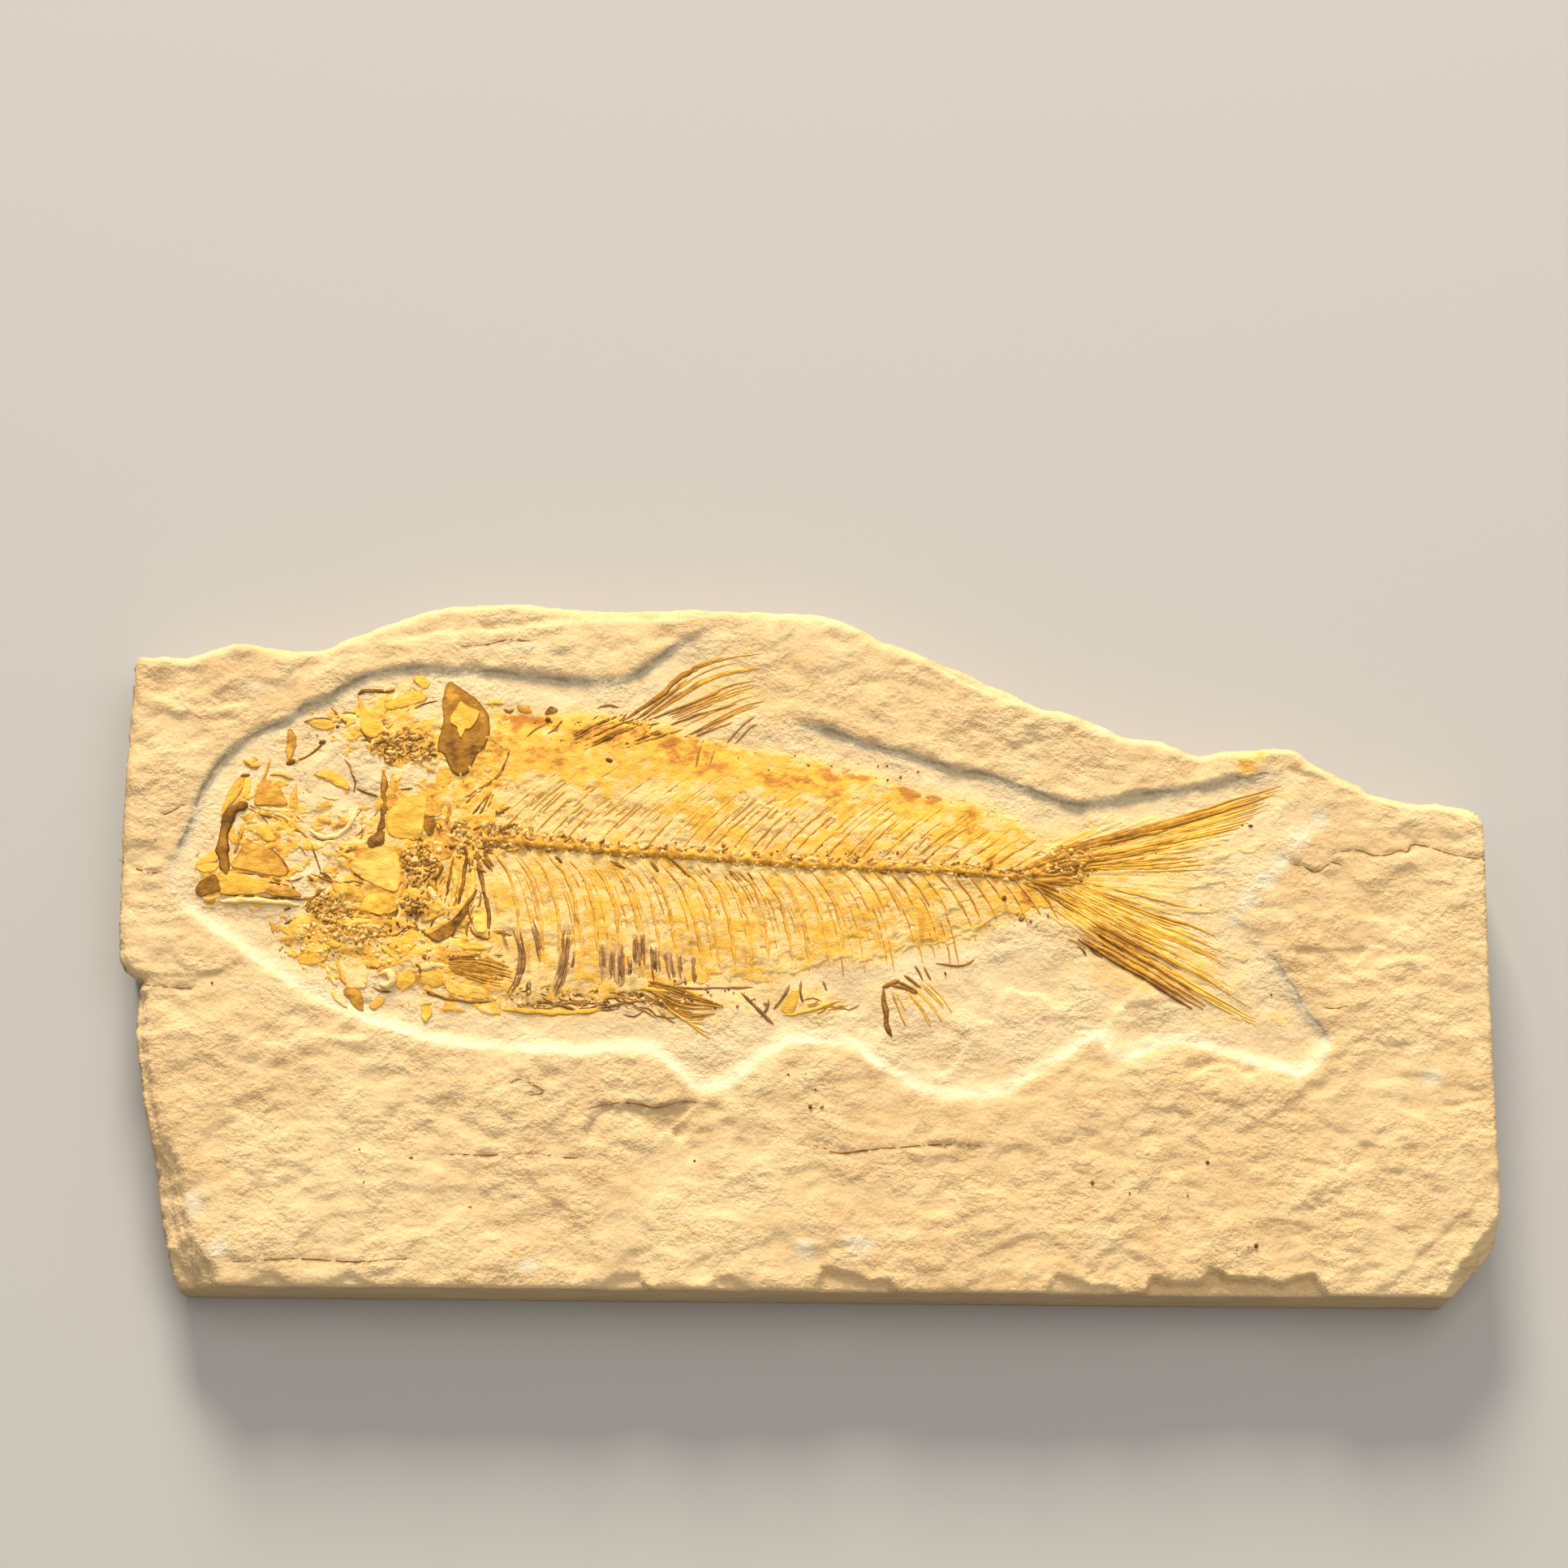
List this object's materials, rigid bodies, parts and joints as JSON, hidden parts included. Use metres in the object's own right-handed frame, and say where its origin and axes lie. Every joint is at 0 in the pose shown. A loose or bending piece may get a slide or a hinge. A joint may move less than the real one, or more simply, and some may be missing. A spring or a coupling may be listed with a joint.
{
  "type": "fossil fish slab",
  "caption": "Thin slab of pale split limestone with a sawn lower edge and end, bearing a small fossil herring whose brown and amber bones lie on a bed scraped out around it.",
  "frame": {"origin": "middle of the slab's flat back, on the surface it lies on", "axes": "+X along the slab from the fish's snout to its tail, +Y towards the slab's broken upper edge (the fish's back), +Z out of the face with the fish"},
  "size_m": [0.1402, 0.0722, 0.009],
  "materials": {
    "limestone": "matte split limestone, pale tan with greyer scraped ground",
    "dark_bone": "dark brown mineralised bone, slightly glossy",
    "amber_bone": "amber-brown mineralised bone, satin",
    "yellow_bone": "yellow thin mineralised bone and film, satin"
  },
  "bodies": {
    "root": {"limestone_slab": "limestone", "backbone": "amber_bone", "rib_01": "yellow_bone", "rib_02": "yellow_bone", "rib_03": "yellow_bone", "rib_04": "yellow_bone", "rib_05": "yellow_bone", "rib_06": "yellow_bone", "rib_07": "yellow_bone", "rib_08": "yellow_bone", "rib_09": "yellow_bone", "rib_10": "yellow_bone", "rib_11": "yellow_bone", "rib_12": "yellow_bone", "rib_13": "yellow_bone", "rib_14": "yellow_bone", "rib_15": "yellow_bone", "rib_16": "yellow_bone", "rib_17": "yellow_bone", "rib_18": "yellow_bone", "belly_plate_1": "dark_bone", "belly_plate_2": "dark_bone", "belly_plate_3": "dark_bone", "belly_plate_4": "dark_bone", "belly_plate_5": "dark_bone", "belly_plate_6": "dark_bone", "dorsal_fin": "dark_bone", "pectoral_fin": "dark_bone", "pelvic_fin": "dark_bone", "anal_fin": "dark_bone", "tail_root": "dark_bone", "tail_fin_upper": "amber_bone", "tail_fin_lower": "amber_bone", "snout_bone": "yellow_bone", "upper_jaw_bone": "dark_bone", "upper_jaw_tip": "amber_bone", "lower_jaw_tip": "dark_bone", "lower_jaw_plate": "amber_bone", "lower_jaw_bone": "yellow_bone", "nose_plate": "amber_bone", "eye_crescent": "yellow_bone", "eye_top_plate": "yellow_bone", "brow_bone": "dark_bone", "skull_roof": "amber_bone", "crest_plate": "yellow_bone", "nape_plate": "yellow_bone", "braincase": "amber_bone", "gill_cover": "dark_bone", "gill_cover_flake": "yellow_bone", "cheek_bar": "dark_bone", "gill_plate_upper": "yellow_bone", "gill_plate_broad": "yellow_bone", "gill_lobe": "yellow_bone", "gill_arches": "dark_bone", "throat_bone": "yellow_bone", "throat_chip": "dark_bone", "shoulder_bone": "dark_bone", "shoulder_ray_front": "dark_bone", "shoulder_ray_rear": "dark_bone"}
  },
  "joints": []
}
